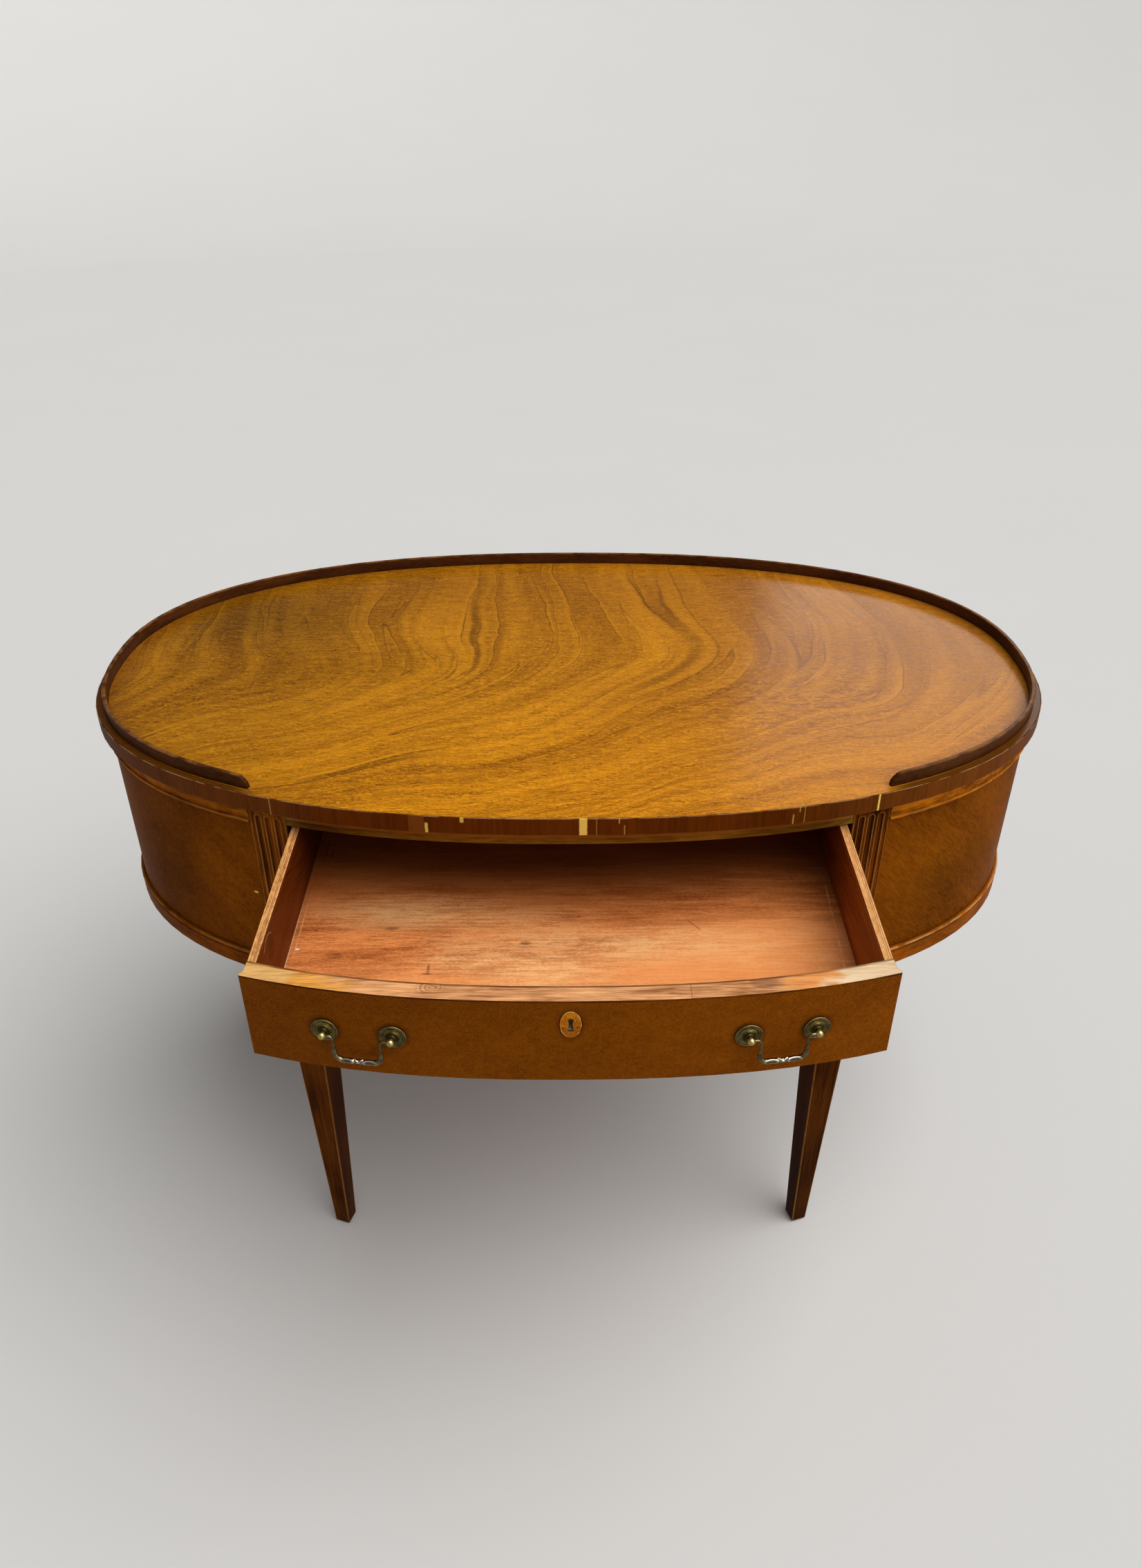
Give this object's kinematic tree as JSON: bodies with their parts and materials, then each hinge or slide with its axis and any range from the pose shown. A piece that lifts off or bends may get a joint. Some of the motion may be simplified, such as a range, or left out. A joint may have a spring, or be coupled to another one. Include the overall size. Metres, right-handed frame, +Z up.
{
  "type": "oval writing desk",
  "caption": "Oval kneehole writing desk with a low gallery, a bowed drawer with swan-neck bail handles, curved end aprons and fluted posts on tapered legs.",
  "frame": {"origin": "on the floor under the centre of the oval top", "axes": "+X to the right along the oval's length, +Y to the back, +Z up; the drawer opens towards -Y"},
  "size_m": [1.219, 0.9507, 0.778],
  "materials": {
    "top_veneer": "satin polish",
    "edge_veneer": "satin polish",
    "mahogany": "satin polish",
    "leg_mahogany": "satin polish",
    "front_veneer": "satin polish",
    "drawer_wood": "worn",
    "plain_wood": "unfinished",
    "inlay": "satin polish",
    "brass": "antique",
    "steel": "plain"
  },
  "bodies": {
    "case": {"top_panel": "top_veneer", "edge_band": "edge_veneer", "gallery_rail": "edge_veneer", "left_panel": "mahogany", "left_frieze_moulding": "mahogany", "left_base_band": "mahogany", "right_panel": "mahogany", "right_frieze_moulding": "mahogany", "right_base_band": "mahogany", "back_panel": "mahogany", "back_frieze_moulding": "mahogany", "back_base_band": "mahogany", "front_left_leg": "leg_mahogany", "front_right_leg": "leg_mahogany", "back_left_leg": "leg_mahogany", "back_right_leg": "leg_mahogany", "front_left_glide": "steel", "front_right_glide": "steel", "back_left_glide": "steel", "back_right_glide": "steel", "front_top_rail": "mahogany", "drawer_blade": "mahogany", "left_partition": "plain_wood", "right_partition": "plain_wood", "left_drawer_runner": "plain_wood", "right_drawer_runner": "plain_wood", "left_drawer_kicker": "plain_wood", "right_drawer_kicker": "plain_wood", "left_drawer_stop": "plain_wood", "right_drawer_stop": "plain_wood", "front_left_glue_block": "plain_wood", "front_right_glue_block": "plain_wood", "back_left_glue_block": "plain_wood", "back_right_glue_block": "plain_wood"},
    "drawer": {"drawer_front": "front_veneer", "left_drawer_side": "drawer_wood", "right_drawer_side": "drawer_wood", "drawer_back": "drawer_wood", "drawer_bottom": "drawer_wood", "escutcheon": "inlay", "left_handle_left_rosette": "brass", "left_handle_left_post": "brass", "left_handle_left_nut": "steel", "left_handle_right_rosette": "brass", "left_handle_right_post": "brass", "left_handle_right_nut": "steel", "right_handle_left_rosette": "brass", "right_handle_left_post": "brass", "right_handle_left_nut": "steel", "right_handle_right_rosette": "brass", "right_handle_right_post": "brass", "right_handle_right_nut": "steel"},
    "left_handle_bail": {"left_bail": "brass"},
    "right_handle_bail": {"right_bail": "brass"}
  },
  "joints": [
    {"name": "drawer_slide", "type": "slide", "parent": "case", "child": "drawer", "axis": [0, -1, 0], "range_m": [-0.244, 0.06]},
    {"name": "left_bail_hinge", "type": "hinge", "parent": "drawer", "child": "left_handle_bail", "pos_m": [-0.20636, -0.58567, 0.6665], "axis": [-0.9891, 0.1475, 0], "range_deg": [-8, 160]},
    {"name": "right_bail_hinge", "type": "hinge", "parent": "drawer", "child": "right_handle_bail", "pos_m": [0.20636, -0.58567, 0.6665], "axis": [-0.9891, -0.1475, 0], "range_deg": [-8, 160]}
  ]
}
